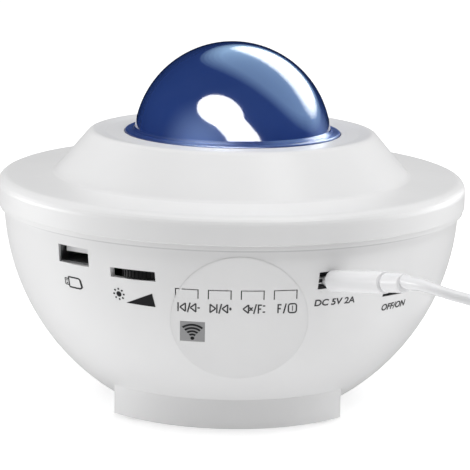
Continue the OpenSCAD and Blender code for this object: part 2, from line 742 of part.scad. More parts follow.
module laser_module() color(brass) difference() {
    translate([0, 0, laser_low_z]) cylinder(r = laser_r, h = laser_len);
    translate([0, 0, laser_low_z + laser_len - 3]) cylinder(r = 2.2, h = 4);
}

module grating_disc() color(clear_lens) translate([0, 0, laser_low_z + laser_len])
    cylinder(r = laser_r - 0.2, h = 1);

module gear_wheel() color([0.9, 0.9, 0.85]) difference() {
    union() {
        translate([0, 0, gear_z]) linear_extrude(gear_t) polygon(tooth_outline(wheel_teeth,
            tooth_m));
        translate([0, 0, gear_z]) cylinder(r = lens_r + 2, h = gear_t + 1.2);
    }
    translate([0, 0, gear_z - 1]) cylinder(r = tunnel_out_r + run_fit, h = gear_t + 4);
    translate([0, 0, gear_z + gear_t]) cylinder(r = lens_r + 0.1, h = 3);
}

// Clear disc with low ripples on top, which makes the drifting clouds of light
module ripple_lens() color(clear_lens) {
    translate([0, 0, gear_z + gear_t]) cylinder(r = lens_r, h = lens_t - 0.6);
    for (r = [6:6:lens_r - 2]) translate([0, 0, gear_z + gear_t + lens_t - 0.6])
        rotate_extrude() translate([r, 0]) polygon([[-2, 0], [2, 0], [0.8, 0.6], [-0.8, 0.6]]);
}

module drive_motor() color(steel) translate([0, motor_y, 0]) difference() {
    union() {
        translate([0, 0, tray_z - motor_plate_t - motor_len]) cylinder(r = motor_r, h = motor_len);
        translate([0, 0, tray_z - motor_plate_t]) linear_extrude(motor_plate_t) {
            square([2 * motor_ear_x, 6], center = true);
            for (x = [-1, 1]) translate([x * motor_ear_x, 0]) circle(r = 3);
            circle(r = motor_r - 0.2);
        }
    }
    translate([0, 0, tray_z - 10]) cylinder(r = shaft_r + run_fit, h = 12);
    for (x = [-1, 1]) translate([x * motor_ear_x, 0, tray_z - 5]) cylinder(r = 1.2, h = 6);
}

module motor_shaft() color(steel) translate([0, motor_y, tray_z - 9])
    cylinder(r = shaft_r, h = gear_z + gear_t - tray_z + 9);

module drive_pinion() color("white") translate([0, motor_y, gear_z]) difference() {
    rotate([0, 0, 90 + 180 / pinion_teeth]) linear_extrude(gear_t)
        polygon(tooth_outline(pinion_teeth, tooth_m));
    translate([0, 0, -1]) cylinder(r = shaft_r + 0.01, h = gear_t + 2);
}

module motor_screws() color(steel) for (x = [-1, 1])
    translate([x * motor_ear_x, motor_y, tray_z - motor_plate_t]) screw(2, 1.2, 0.98, 3.4);

// ---- Loudspeaker ------------------------------------------------------------------------

basket_top_r = magnet_r - 0.5;
module speaker_frame() color(black) translate([0, 0, floor_z]) difference() {
    union() {
        cylinder(r = speaker_r, h = flange_h);
        at_speaker_ears() cylinder(r = 2.6, h = flange_h);
        translate([0, 0, flange_h - 0.01]) cylinder(r1 = speaker_r - 1, r2 = magnet_r,
            h = 9.2 + 0.01);
    }
    translate([0, 0, -1]) cylinder(r = hole_r, h = flange_h + 1);
    translate([0, 0, flange_h - 0.02]) cylinder(r1 = hole_r, r2 = basket_top_r - 0.9, h = 8.2);
    translate([0, 0, flange_h]) cylinder(r = gap_r + 2, h = 20);
    for (a = [0:60:300]) rotate([0, 0, a]) translate([10, -4.5, 3]) cube([20, 9, 5]);
    at_speaker_ears() translate([0, 0, -1]) cylinder(r = 1.3, h = 5);
}

module speaker_magnet() color(steel) difference() {
    union() {
        translate([0, 0, top_plate_z]) cylinder(r = magnet_r - 1, h = 2);
        translate([0, 0, top_plate_z + 2]) cylinder(r = magnet_r, h = magnet_h);
        translate([0, 0, top_plate_z + 2 + magnet_h]) cylinder(r = magnet_r - 1, h = 1.6);
    }
    translate([0, 0, top_plate_z - 1]) difference() {
        cylinder(r = gap_r, h = 3 + magnet_h);
        translate([0, 0, 1]) cylinder(r = pole_r, h = 5 + magnet_h);
    }
}

// Paper cone with its voice-coil tube, opening downwards
module speaker_cone() color(grey) translate([0, 0, floor_z]) {
    difference() {
        translate([0, 0, 2]) cylinder(r1 = cone_r, r2 = gap_r - 0.4, h = 6);
        translate([0, 0, 1.99]) cylinder(r1 = cone_r - 0.9, r2 = gap_r - 1.3, h = 5.6);
        translate([0, 0, 1]) cylinder(r = gap_r - 1, h = 9);
    }
    difference() {
        translate([0, 0, 7.2]) cylinder(r = gap_r - 0.4, h = 6.4);
        translate([0, 0, 6]) cylinder(r = gap_r - 0.8, h = 9);
    }
    // Dust cap
    translate([0, 0, 7.2]) cylinder(r = gap_r - 0.7, h = 0.6);
}

module speaker_surround() color(black) translate([0, 0, floor_z]) rotate_extrude()
    polygon(rounded([[cone_r + 0.1, 2, 0], [cone_r + 0.1, 1.5, 0], [cone_r + 1.5, 0.3, 0.5],
        [hole_r - 0.1, 0.8, 0], [hole_r - 0.1, 1.3, 0], [cone_r + 1.5, 0.8, 0.5]], 4));

module speaker_screws() color(steel) at_speaker_ears() translate([0, 0, floor_z + flange_h])
    mirror([0, 0, 1]) screw(2, 1.2, 0.98, 3.6);

module main_board() color(board_green) difference() {
    translate([0, 0, main_board_z]) cylinder(r = main_board_r, h = board_t);
    at_main_posts() translate([0, 0, main_board_z - 1]) cylinder(r = 1.2, h = board_t + 2);
}

board_top_z = main_board_z + board_t;
module main_board_parts() translate([0, 0, board_top_z]) {
    // Radio module, amplifier and controller chips
    color(steel) translate([-9, -27, 0]) cube([18, 13, 2.2]);
    color(black) translate([-20, -6, 0]) cube([10, 10, 1.6]);
    color(black) translate([-4, 4, 0]) cube([8, 6, 1.4]);
    // Capacitors
    color(grey) for (x = [-22, -13]) translate([x, 16, 0]) cylinder(r = 3.15, h = 11);
    // Wire sockets
    color("white") for (p = [[10, 14], [12, -14], [-26, -16], [19, -3], [-3, -12]])
        translate([p[0], p[1], 0]) cube([7.4, 4.6, 5.4]);
}

module main_board_screws() color(steel) at_main_posts() translate([0, 0, board_top_z])
    mirror([0, 0, 1]) screw(2.2, 1.4, 0.98, 8);

// ---- Wires ------------------------------------------------------------------------------

wire_r = 0.8;
wire_gap = 0.3;     // air between a wire's cut end and the piece it is soldered or plugged to
socket_top_z = board_top_z + 5.4;

// Wires that leave straight down or up, run through the route and end above a socket
module wires(routes) for (route = routes) tube(smooth(route), wire_r, 6);
function up(p, h) = [p[0], p[1], p[2] + h];
function into_socket(x, y) = [[x, y, socket_top_z + 5], [x, y, socket_top_z + wire_gap]];

speaker_tag = [20.5, 4.8, floor_z + 8.6];
module speaker_wires() color("firebrick") wires([for (k = [-1, 1])
    [speaker_tag + [0, k * 1.35, 0], speaker_tag + [4.5, k * 1.35, 3], speaker_tag
    + [6, k * 1.35, 8], speaker_tag + [6, k * 1.35, main_board_z - wire_gap - speaker_tag[2]]]]);

module motor_wires() color("firebrick") wires([for (k = [-1, 1])
    let (from = [k * 2.5, motor_y, tray_z - motor_plate_t - motor_len - wire_gap])
    concat([from, up(from, -3.5), [k * 2.5 + 3, motor_y - 2.5, 49], [12 + k, 25, 45]],
        into_socket(13.7 + k * 1.2, 16.5))]);

module led_wires() color("gold") wires([for (k = [-1, 1])
    let (from = [18 + k, -9, tray_z - board_t - wire_gap])
    concat([from, up(from, -5), [19 + k, -12, 56]], into_socket(15.7 + k * 1.2, -12))]);

// A point given in a side panel's own axes
function panel_spot(az, z, lean, p) =
    let (depth = panel_r(z) - p[1] * cos(lean) - p[2] * sin(lean))
    [depth * sin(az) + p[0] * cos(az), p[0] * sin(az) - depth * cos(az),
        z - p[1] * sin(lean) + p[2] * cos(lean)];
wire_from = board_t + wire_gap;
module panel_wires() color("dimgray") wires([
    concat([for (y = [0, 5]) panel_spot(data_az, data_z, 0, [-4, data_board_y + wire_from + y, -4])],
        [[-24.5, -38, 50], [-21.5, -26, 47]], into_socket(-22.3, -13.7)),
    concat([for (y = [0, 5]) [0.7, -key_board_depth + wire_from + y, key_z - 8]],
        [[0.7, -30, 45]], into_socket(0.7, -9.7)),
    concat([for (y = [0, 5])
        panel_spot(power_az, power_z, power_lean, [5, power_board_y + wire_from + y, -4])],
        [[26.5, -38, 49], [22.5, -25, 47]], into_socket(22.7, -0.7))]);

// ---- Power plug and cable -----------------------------------------------------------------

module dc_plug() on_power_panel() {
    color("white") rotate([90, 0, 0]) translate([jack_x, 0, -plug_face_y]) rotate_extrude()
        polygon(rounded([[0, 0, 0], [plug_d / 2, 0, 1.2], [plug_d / 2, plug_len, 0.4],
            [groove_r, plug_len, 0], [groove_r, plug_len + groove, 0],
            [collar_r, plug_len + groove, 0.3],
            [collar_r, plug_len + groove + collar_len, 0.5],
            [0, plug_len + groove + collar_len, 0]], 4));
    color(steel) rod(jack_x, 0, barrel_r, plug_face_y, plug_face_y + barrel_len);
}

module cable_relief() color("white") on_power_panel() rotate([90, 0, 0])
    translate([jack_x, 0, relief_from]) rotate_extrude()
        polygon([[0, 0], [relief_r - 0.5, 0], [relief_r - 0.5, 0.7], [relief_r, 0.9],
            [cable_r + 0.3, relief_len], [0, relief_len]]);

module cable_run() color("white") tube(smooth(run_route), cable_r);

module cable_coil() color("white") translate([coil_x, coil_y, coil_z]) rotate_extrude()
    polygon(rounded([for (p = [[-1, 0], [1, 0], [1, 1], [-1, 1]])
        [coil_mid_r + p[0] * coil_half_w, p[1] * coil_h, cable_r - 0.05]], 5));

module cable_tail() color("white") tube(smooth(tail_route), cable_r);

module cable_tie() color("white") translate([coil_x - coil_mid_r, coil_y, 0]) difference() {
    translate([-coil_half_w - tie_t - 0.3, -tie_w / 2, 0])
        cube([2 * coil_half_w + 2 * tie_t + 0.6, tie_w, coil_h + 2 * tie_t + 0.1]);
    translate([-coil_half_w - 0.3, -tie_w / 2 - 1, tie_t])
        cube([2 * coil_half_w + 0.6, tie_w + 2, coil_h + 0.1]);
}

module at_usb_plug() translate(usb_plug_at) rotate([0, 0, usb_plug_turn]) children();

module usb_plug_body() color("white") at_usb_plug() {
    hull() for (x = [-1, 1], z = [-1, 1])
        translate([x * (grip_w / 2 - 2), 9, z * (grip_h / 2 - 2)])
        rotate([-90, 0, 0]) cylinder(r = 2, h = grip_len, $fn = 32);
    rotate([-90, 0, 0]) cylinder(r1 = cable_r + 0.4, r2 = cable_r + 1.4, h = 9);
}

module usb_plug_shell() color(steel) at_usb_plug() difference() {
    translate([-tip_w / 2, 9 + grip_len, -tip_h / 2]) cube([tip_w, tip_len, tip_h]);
    translate([-tip_w / 2 + 0.4, 9 + grip_len + 1, -0.2]) cube([tip_w - 0.8, tip_len, 2]);
}

top_cover();
bowl_shell();
base_stand();
foot_pads();
stand_screws();
case_screws();
dome_lens();
label_film();
ir_window();
key_1();
key_2();
key_3();
key_4();
key_board();
tact_switches();
ir_receiver();
data_board();
usb_shell();
usb_tongue();
pot_case();
brightness_wheel();
power_board();
dc_jack();
slide_switch_case();
switch_knob();
board_screws();
optics_tray();
tray_screws();
led_board();
led_chips();
led_lenses();
laser_holder();
laser_module();
grating_disc();
gear_wheel();
ripple_lens();
drive_motor();
motor_shaft();
drive_pinion();
motor_screws();
speaker_frame();
speaker_magnet();
speaker_cone();
speaker_surround();
speaker_screws();
main_board();
main_board_parts();
main_board_screws();
speaker_wires();
motor_wires();
led_wires();
panel_wires();
dc_plug();
cable_relief();
cable_run();
cable_coil();
cable_tail();
cable_tie();
usb_plug_body();
usb_plug_shell();
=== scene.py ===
import math

import bmesh
import bpy
from mathutils import Matrix, Vector


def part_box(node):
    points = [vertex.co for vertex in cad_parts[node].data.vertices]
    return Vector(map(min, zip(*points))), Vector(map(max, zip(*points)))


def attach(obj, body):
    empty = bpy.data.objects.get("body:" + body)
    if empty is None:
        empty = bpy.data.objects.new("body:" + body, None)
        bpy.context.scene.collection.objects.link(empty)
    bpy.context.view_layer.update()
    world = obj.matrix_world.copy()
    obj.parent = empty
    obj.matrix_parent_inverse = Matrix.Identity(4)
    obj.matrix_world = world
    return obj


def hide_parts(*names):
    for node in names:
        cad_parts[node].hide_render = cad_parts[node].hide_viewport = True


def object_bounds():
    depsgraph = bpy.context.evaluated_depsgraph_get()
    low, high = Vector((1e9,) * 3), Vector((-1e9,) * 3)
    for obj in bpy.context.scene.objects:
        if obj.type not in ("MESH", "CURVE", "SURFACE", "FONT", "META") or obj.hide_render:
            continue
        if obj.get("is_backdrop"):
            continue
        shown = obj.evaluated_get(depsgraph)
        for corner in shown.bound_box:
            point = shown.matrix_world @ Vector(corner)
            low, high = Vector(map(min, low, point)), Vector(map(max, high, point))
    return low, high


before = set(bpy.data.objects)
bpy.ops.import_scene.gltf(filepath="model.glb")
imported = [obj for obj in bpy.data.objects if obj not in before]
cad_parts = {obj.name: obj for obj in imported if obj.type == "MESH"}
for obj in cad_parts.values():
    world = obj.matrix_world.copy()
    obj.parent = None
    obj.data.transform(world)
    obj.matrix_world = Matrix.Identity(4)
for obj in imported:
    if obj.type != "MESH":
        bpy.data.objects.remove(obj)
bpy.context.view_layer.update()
mm = 0.001

# ---- Camera -----------------------------------------------------------------------------------
# The camera stands a little above the projector and looks at its keys through a long lens. It is
# rolled by about a degree, and the frame is shifted so that the aim lies at its own pixel.
picture_width = 470
sensor_width = 36
focal_length = 147.5
nearest_seen = 10 * mm
aim = Vector((0, 0, 61 * mm))
aim_pixel = (230.8, 224.6)
camera_distance = 0.7
camera_height_angle = math.radians(11.42)
camera_roll = math.radians(1.1)


def placed(name, data):
    """A new object, put in the scene."""
    made = bpy.data.objects.new(name, data)
    bpy.context.scene.collection.objects.link(made)
    return made


camera = placed("camera", bpy.data.cameras.new("camera"))
camera.data.sensor_width = sensor_width
camera.data.lens = focal_length
camera.data.clip_start = nearest_seen
camera.data.shift_x = (picture_width / 2 - aim_pixel[0]) / picture_width
camera.data.shift_y = (aim_pixel[1] - picture_width / 2) / picture_width
camera.matrix_world = (
    Matrix.Translation(aim)
    @ Matrix.Rotation(math.pi / 2 - camera_height_angle, 4, "X")
    @ Matrix.Rotation(camera_roll, 4, "Z")
    @ Matrix.Translation((0, 0, camera_distance))
)
bpy.context.scene.camera = camera

# ---- Power cable ------------------------------------------------------------------------------
# Round soft-vinyl lead, 1 m long and 3.5 mm thick. It leaves the plug's strain relief, drops to
# the table and lies there in a coil of six turns, three beside each other and two high.
cable_width = 3.5 * mm
coil_centre = (114, -45)
coil_turn_radii = (24.5, 21, 17.5, 17.5, 21, 24.5)
turns_per_layer = 3
turn_steps = 36
crossing = 0.2
coil_layer_heights = (2.35, 5.45)
run_route = [(56.5, -108.8, 65.5), (58.5, -111.5, 65.9), (61.1, -114, 65.6), (64.4, -116, 64.9),
             (68.4, -117.4, 64), (73, -117.8, 62.9), (78, -117.2, 61.1), (84, -115.6, 58.2),
             (90.4, -113.2, 53.8), (97.4, -109.8, 48), (104.6, -105.4, 40.8), (111.6, -100.2, 32.6),
             (118.4, -94, 24), (124.8, -86.6, 16), (130.6, -78, 9.2), (135, -68, 4.8),
             (137.6, -57, 2.8), (138.5, -45, 2.35)]
tail_route = [(138.5, -45, 5.45), (138.2, -36, 4.9), (136.5, -26, 3.2), (133, -17, 2.2),
              (128.5, -8.5, 2.1), (124.5, 0.5, 2.9), (122, 9, 3.9), (121, 14, 4)]


def smoother(route):
    """The route with one more point between each two, on a smooth curve."""
    points = [Vector(p) for p in route]
    made = []
    for i in range(len(points) - 1):
        before, after = points[max(i - 1, 0)], points[min(i + 2, len(points) - 1)]
        made += [points[i], (9 * (points[i] + points[i + 1]) - before - after) / 16]
    return made + [points[-1]]


def eased(t):
    """0 to 1 with a soft start and a soft end."""
    t = min(max(t, 0), 1)
    return t * t * (3 - 2 * t)


def coil_points():
    """Turns at even radii; in the last part of each turn the cable crosses to the next one."""
    points = []
    for turn, radius in enumerate(coil_turn_radii):
        last = turn == len(coil_turn_radii) - 1
        next_radius = radius if last else coil_turn_radii[turn + 1]
        layer = turn // turns_per_layer
        next_layer = layer if last else (turn + 1) // turns_per_layer
        for step in range(0 if turn else 1, turn_steps):
            share = eased((step / turn_steps - 1 + crossing) / crossing)
            r = radius + (next_radius - radius) * share
            z = coil_layer_heights[layer] + share * (
                coil_layer_heights[next_layer] - coil_layer_heights[layer])
            angle = 2 * math.pi * step / turn_steps
            points.append(Vector((coil_centre[0] + r * math.cos(angle),
                                  coil_centre[1] + r * math.sin(angle), z)))
    return points


def curve_through(name, points, width):
    """A round tube, as a curve of one spline, along points in millimetres."""
    data = bpy.data.curves.new(name, "CURVE")
    data.dimensions = "3D"
    data.bevel_depth = width / 2
    data.bevel_resolution = 5
    data.use_fill_caps = True
    line = data.splines.new("POLY")
    line.points.add(len(points) - 1)
    for place, point in zip(line.points, points):
        place.co = (*(point * mm), 1)
    line.use_smooth = True
    return placed(name, data)


class Tap:
    """A socket of a material's or the world's nodes. Arithmetic on it adds Math nodes."""

    def __init__(self, tree, socket=None):
        self.tree, self.socket = tree, socket

    def node(self, kind, settings=(), values=(), out=0):
        """Adds a node: its settings first, then the values or links of its sockets."""
        made = self.tree.nodes.new("ShaderNode" + kind)
        for name, value in dict(settings).items():
            setattr(made, name, value)
        for name, value in dict(values).items():
            if isinstance(value, Tap):
                self.tree.links.new(value.socket, made.inputs[name])
            else:
                made.inputs[name].default_value = value
        return Tap(self.tree, made.outputs[out])

    def maths(self, operation, *values):
        """One Math node."""
        return self.node("Math", {"operation": operation}, enumerate((self, *values)))

    def __add__(self, other):
        return self.maths("ADD", other)

    def __mul__(self, other):
        return self.maths("MULTIPLY", other)

    def __sub__(self, other):
        return self.maths("SUBTRACT", other)

    def __rsub__(self, other):
        return self * -1 + other

    __radd__, __rmul__ = __add__, __mul__

    def clamped(self):
        """The value, kept between 0 and 1."""
        return self.node("Clamp", {}, {"Value": self})

    def between(self, low, high):
        """0 below low, 1 above high, with a soft step between them."""
        return self.node("MapRange", {"interpolation_type": "SMOOTHSTEP"},
                         {"Value": self, "From Min": low, "From Max": high})


class Finish:
    """A material under construction. place is a point on the object, in metres."""

    def __init__(self, name, constants):
        self.material = bpy.data.materials.new(name)
        self.material.use_nodes = True
        self.shader = self.material.node_tree.nodes["Principled BSDF"]
        for socket, value in constants.items():
            self.shader.inputs[socket].default_value = value
        self.place = Tap(self.material.node_tree).node("TexCoord", out="Object")

    def feed(self, socket, value):
        """Lets a Tap drive a socket of the shader."""
        self.place.tree.links.new(value.socket, self.shader.inputs[socket])

    def along(self, axis):
        """The surface's place along X, Y or Z, in metres."""
        return self.place.node("SeparateXYZ", {}, {"Vector": self.place}, out=axis)

    def away_from(self, point):
        """How far the surface lies from a point, in metres."""
        return self.place.node("VectorMath", {"operation": "DISTANCE"},
                               {0: self.place, 1: point}, out="Value")

    def noise(self, size, detail=2.0, stretch=None):
        """Soft random values around 0.5, with features of about that size in metres."""
        place = self.place
        if stretch:
            place = place.node("Mapping", {}, {"Vector": place, "Scale": stretch})
        return place.node("TexNoise", {}, {"Vector": place, "Scale": 1 / size, "Detail": detail})

    def blend(self, share, first, second):
        """A colour between two, each a colour or a Tap of one. 6, 7 and 2 are Mix's colours."""
        return self.place.node("Mix", {"data_type": "RGBA"},
                               {0: share, 6: first, 7: second}, out=2)

    def bump(self, height, depth):
        """Raises the surface by height times depth, in metres."""
        self.feed("Normal", self.place.node(
            "Bump", {}, {"Height": height, "Distance": depth, "Strength": 1.0}))


def moulded(name, colour, roughness, grain=0.35 * mm, depth=0.006 * mm, spread=0.04):
    """Injection-moulded plastic or rubber: slow colour drift, fine tool texture, uneven sheen."""
    made = Finish(name, {"Roughness": roughness})
    darker = [c * (1 - spread) for c in colour] + [1]
    drift = made.noise(28 * mm).between(0.3, 0.7)
    made.feed("Base Color", made.blend(drift, darker, [*colour, 1]))
    made.feed("Roughness", (made.noise(4 * mm) - 0.5) * 0.08 + roughness)
    made.bump(made.noise(grain, 3.0), depth)
    return made.material


cable_vinyl = moulded("cable_vinyl", (0.73, 0.73, 0.74), 0.38, grain=0.5 * mm)
cable_line = smoother(smoother(run_route)) + coil_points() + smoother(smoother(tail_route))
cable = curve_through("power_cable", cable_line, cable_width)
cable.data.materials.append(cable_vinyl)
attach(cable, "housing")
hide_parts("cable_run", "cable_coil", "cable_tail")

# ---- Plugs, strain relief and coil tie --------------------------------------------------------
# The ends of the lead are overmoulded in the cable's own vinyl, a little glossier than the
# jacket. The tie is a thin strip of the same, and the USB tip is a folded, plated sheet.


def paint(material, *names):
    """Gives CAD nodes their finish."""
    for name in names:
        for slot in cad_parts[name].material_slots:
            slot.material = material


plug_vinyl = moulded("plug_vinyl", (0.76, 0.76, 0.77), 0.24, grain=0.6 * mm, depth=0.004 * mm)
paint(plug_vinyl, "dc_plug", "cable_tie", "usb_plug_body")
sleeve_start = Vector((54.0, -105.0, 65.4))
sleeve_swell, sleeve_taper = 1.22, 0.2
sleeve_line = smoother([sleeve_start, *run_route[:4]])
sleeve = curve_through("strain_relief", sleeve_line, cable_width)
for step, place in enumerate(sleeve.data.splines[0].points):
    place.radius = sleeve_swell - sleeve_taper * eased(step / (len(sleeve_line) - 1))
sleeve.data.materials.append(plug_vinyl)
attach(sleeve, "housing")
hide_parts("cable_relief")


def plated(name, colour, roughness, grain=(1, 1, 14)):
    """Bare or plated metal, with the fine drawn lines of rolled sheet."""
    made = Finish(name, {"Metallic": 1.0})
    lines = made.noise(1.2 * mm, 3.0, stretch=grain)
    duller = [c * 0.86 for c in colour] + [1]
    made.feed("Base Color", made.blend(lines, duller, [*colour, 1]))
    made.feed("Roughness", (lines - 0.5) * 0.16 + roughness)
    made.bump(lines, 0.004 * mm)
    return made.material


tin_plate = plated("tin_plate", (0.74, 0.75, 0.77), 0.28)
paint(tin_plate, "usb_plug_shell", "slide_switch_case", "drive_motor")

# ---- Housing ----------------------------------------------------------------------------------
# Bowl, top cover and foot are moulded in white ABS with a satin gloss. Screws from below clamp
# the cover down on the bowl's tongue, and a painted shadow darkens the seam between them.
seam_middle = 68.75 * mm
seam_reach = (0.15 * mm, 0.5 * mm)
white_abs = (0.72, 0.72, 0.723, 1)
drifted_abs = (0.706, 0.706, 0.709, 1)
seam_shade = (0.52, 0.52, 0.525, 1)
shell = Finish("shell_white", {"Coat Weight": 0.1, "Coat Roughness": 0.28})
drift = shell.noise(28 * mm).between(0.3, 0.7)
plain = shell.blend(drift, drifted_abs, white_abs)
# Painted shadow: a thin darker band along the seam, a little uneven.
from_seam = (shell.along("Z") - seam_middle).maths("ABSOLUTE")
seam_shaded = (1 - from_seam.between(*seam_reach)) * (shell.noise(6 * mm) * 0.5 + 0.6)
shell.feed("Base Color", shell.blend(seam_shaded.clamped(), plain, seam_shade))
shell.feed("Roughness", (shell.noise(4 * mm) - 0.5) * 0.08 + 0.4)
shell.bump(shell.noise(0.45 * mm, 3.0), 0.003 * mm)
paint(shell.material, "bowl_shell", "top_cover", "base_stand")

# ---- Dome -------------------------------------------------------------------------------------
# Deep blue acrylic, moulded about 2 mm thick and polished, with a satin flange that snaps into
# the cover's dished ring. Light from the room gathering in it low down, in front and at the right,
# is painted into its colour as a paler glow.
ball_rise = 31.6 * mm
satin, polish = 0.3, 0.1
flange_coat = 0.35
deep_blue, light_blue = (0.034, 0.08, 0.32, 1), (0.25, 0.38, 0.78, 1)
painted_glow_spots = (((-11 * mm, -33 * mm, 96 * mm), 17 * mm, 1.0),
                  ((32 * mm, -15 * mm, 98 * mm), 12 * mm, 0.95))
dome = Finish("blue_acrylic", {"Roughness": polish, "Coat Weight": 1.0, "Coat Roughness": 0.03,
                               "IOR": 1.49, "Coat IOR": 1.49})
# Painted glow: the base colour pales in soft spots round these points.
painted_glow = 0
for spot, reach, share in painted_glow_spots:
    painted_glow = (1 - dome.away_from(spot).between(0, reach)) * share + painted_glow
cloud = (dome.noise(16 * mm) - 0.5) * 0.1
dome.feed("Base Color", dome.blend((painted_glow + cloud).clamped(), deep_blue, light_blue))
flange_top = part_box("dome_lens")[1].z - ball_rise
polished = dome.along("Z").between(flange_top + 0.5 * mm, flange_top + 1.5 * mm)
dome.feed("Roughness", (dome.noise(6 * mm) - 0.5) * 0.03 + satin - polished * (satin - polish))
dome.feed("Coat Weight", polished * (1 - flange_coat) + flange_coat)
dome.bump(dome.noise(9 * mm, 1.0), 0.01 * mm)
paint(dome.material, "dome_lens")

# ---- Key film and infrared window -------------------------------------------------------------
# A round satin polyester overlay is glued on the bowl behind the keys, with a strip over each
# hinge. It is stretched, so that it shines flatter than the bowl. A smoked window for the remote
# control's receiver fills a square hole at its left edge.
bowl_radius = 81.8
bowl_centre_height = 71.2
film_middle = (3.4, 44.3)
film_radius = 22.3
film_lift = 0.2
film_flatness = 0.85
film_white, drifted_film = (0.735, 0.735, 0.738, 1), (0.715, 0.715, 0.718, 1)
film_section = ((-0.4, 0.205), (0.03, 0.205), (0.35, 0.0), (0.03, -0.02), (-0.4, 0.18))
film_steps = 180
strip_sides, strip_below, strip_above = 0.6, 0.5, 0.9
skin_depth = 0.02
longest_edge = 1.2


def on_bowl(point, azimuth, lift):
    """A flat point, across and up in millimetres, carried onto the bowl's face."""
    across, up = point[0], point[1] - bowl_centre_height
    radius = bowl_radius + lift
    depth = math.sqrt(radius * radius - across * across - up * up)
    return Matrix.Rotation(azimuth, 3, "Z") @ Vector((across, -depth, point[1])) * mm


film = Finish("satin_film", {"Roughness": 0.42})
film.feed("Base Color", film.blend(film.noise(9 * mm), drifted_film, film_white))
film.feed("Roughness", (film.noise(1.5 * mm) - 0.5) * 0.14 + 0.4)
from_middle = film.away_from(on_bowl(film_middle, 0, 0))
flattened = from_middle * from_middle * (film_flatness / (2 * bowl_radius * mm))
film.bump(film.noise(0.25 * mm) * (0.004 * mm) + flattened, 1.0)
paint(film.material, "label_film", "key_1", "key_2", "key_3", "key_4")


def patch(*points):
    """One flat face."""
    return [[Vector(p) for p in points]]


def skin(name, faces, material, lift, azimuth=0.0):
    """Lays flat faces, given across and up in millimetres, on the bowl as a thin skin."""
    mesh = bmesh.new()
    for face in faces:
        mesh.faces.new([mesh.verts.new((p[0], p[1], 0)) for p in face])
    bmesh.ops.remove_doubles(mesh, verts=mesh.verts, dist=1e-4)
    bmesh.ops.triangulate(mesh, faces=mesh.faces)
    while long_edges := [e for e in mesh.edges if e.calc_length() > longest_edge]:
        bmesh.ops.subdivide_edges(mesh, edges=long_edges, cuts=1)
        bmesh.ops.triangulate(mesh, faces=mesh.faces)
    for vertex in mesh.verts:
        vertex.co = on_bowl(vertex.co, math.radians(azimuth), lift)
    bmesh.ops.recalc_face_normals(mesh, faces=mesh.faces)
    outward = sum(f.normal.dot(f.calc_center_median() * Vector((1, 1, 0))) for f in mesh.faces)
    if outward < 0:
        bmesh.ops.reverse_faces(mesh, faces=mesh.faces)
    data = bpy.data.meshes.new(name)
    mesh.to_mesh(data)
    mesh.free()
    made = placed(name, data)
    thickness = made.modifiers.new("skin", "SOLIDIFY")
    thickness.thickness = skin_depth * mm
    thickness.offset = 1
    data.materials.append(material)
    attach(made, "housing")


for number in range(1, 5):
    low, high = (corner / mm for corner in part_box(f"key_{number}"))
    left, right = low.x - strip_sides, high.x + strip_sides
    bottom, top = low.z - strip_below, low.z + strip_above
    strip = patch((left, bottom), (right, bottom), (right, top), (left, top))
    skin(f"key_hinge_{number}", strip, film.material, film_lift)

# The film's rounded edge: its section, carried round the rim.
places, faces = [], []
for out, lift in film_section:
    for step in range(film_steps):
        angle = 2 * math.pi * step / film_steps
        places.append(on_bowl((film_middle[0] + (film_radius + out) * math.cos(angle),
                               film_middle[1] + (film_radius + out) * math.sin(angle)), 0, lift))
for ring in range(len(film_section)):
    following = (ring + 1) % len(film_section)
    for step in range(film_steps):
        ahead = (step + 1) % film_steps
        faces.append((ring * film_steps + step, following * film_steps + step,
                      following * film_steps + ahead, ring * film_steps + ahead))
edge = bpy.data.meshes.new("film_edge")
edge.from_pydata(places, [], faces)
edge.normals_split_custom_set_from_vertices(
    [(place - Vector((0, 0, bowl_centre_height * mm))).normalized() for place in places])
edge.materials.append(film.material)
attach(placed("film_edge", edge), "housing")

smoked = moulded("smoked_window", (0.29, 0.29, 0.295), 0.34, grain=0.3 * mm)
paint(smoked, "ir_window")

# ---- Printed signs ----------------------------------------------------------------------------
# Grey screen-printed signs, on the film below the keys, on the infrared window and on the bowl
# beside the sockets. Each is a skin of ink that follows the bowl.
ink_lift = 0.03
letter_boldness = 0.022


def printed(name, colour):
    """Screen-printed ink, a little uneven in its cover."""
    made = Finish(name, {"Roughness": 0.5})
    thin = [c * 1.35 for c in colour] + [1]
    made.feed("Base Color", made.blend(made.noise(0.6 * mm), [*colour, 1], thin))
    made.bump(made.noise(0.12 * mm), 0.003 * mm)
    return made.material


ink = printed("grey_ink", (0.045, 0.045, 0.048))
dark_ink = printed("dark_ink", (0.014, 0.014, 0.016))


def bar(start, end, width):
    """A straight stroke."""
    start, end = Vector(start), Vector(end)
    side = (end - start).normalized().orthogonal() * width / 2
    return [[start + side, start - side, end - side, end + side]]


def arc(centre, radius, width, first, last, steps):
    """A part of a ring, as a row of small quads."""
    made = []
    for i in range(steps):
        corners = []
        for share, r in ((i, radius - width / 2), (i, radius + width / 2),
                         (i + 1, radius + width / 2), (i + 1, radius - width / 2)):
            angle = math.radians(first + (last - first) * share / steps)
            corners.append(Vector((centre[0] + r * math.cos(angle),
                                   centre[1] + r * math.sin(angle))))
        made.append(corners)
    return made


def dot(centre, radius, steps=16):
    """A round face."""
    return [[Vector((centre[0] + radius * math.cos(2 * math.pi * i / steps),
                     centre[1] + radius * math.sin(2 * math.pi * i / steps)))
             for i in range(steps)]]


def outline(points, width):
    """Strokes round a closed shape."""
    closed = [*points, points[0]]
    strokes = []
    for a, b in zip(closed, closed[1:]):
        strokes += bar(a, b, width)
    return strokes


def moved(faces, x, z, scale=1.0):
    """The faces, scaled and then moved."""
    return [[p * scale + Vector((x, z)) for p in face] for face in faces]


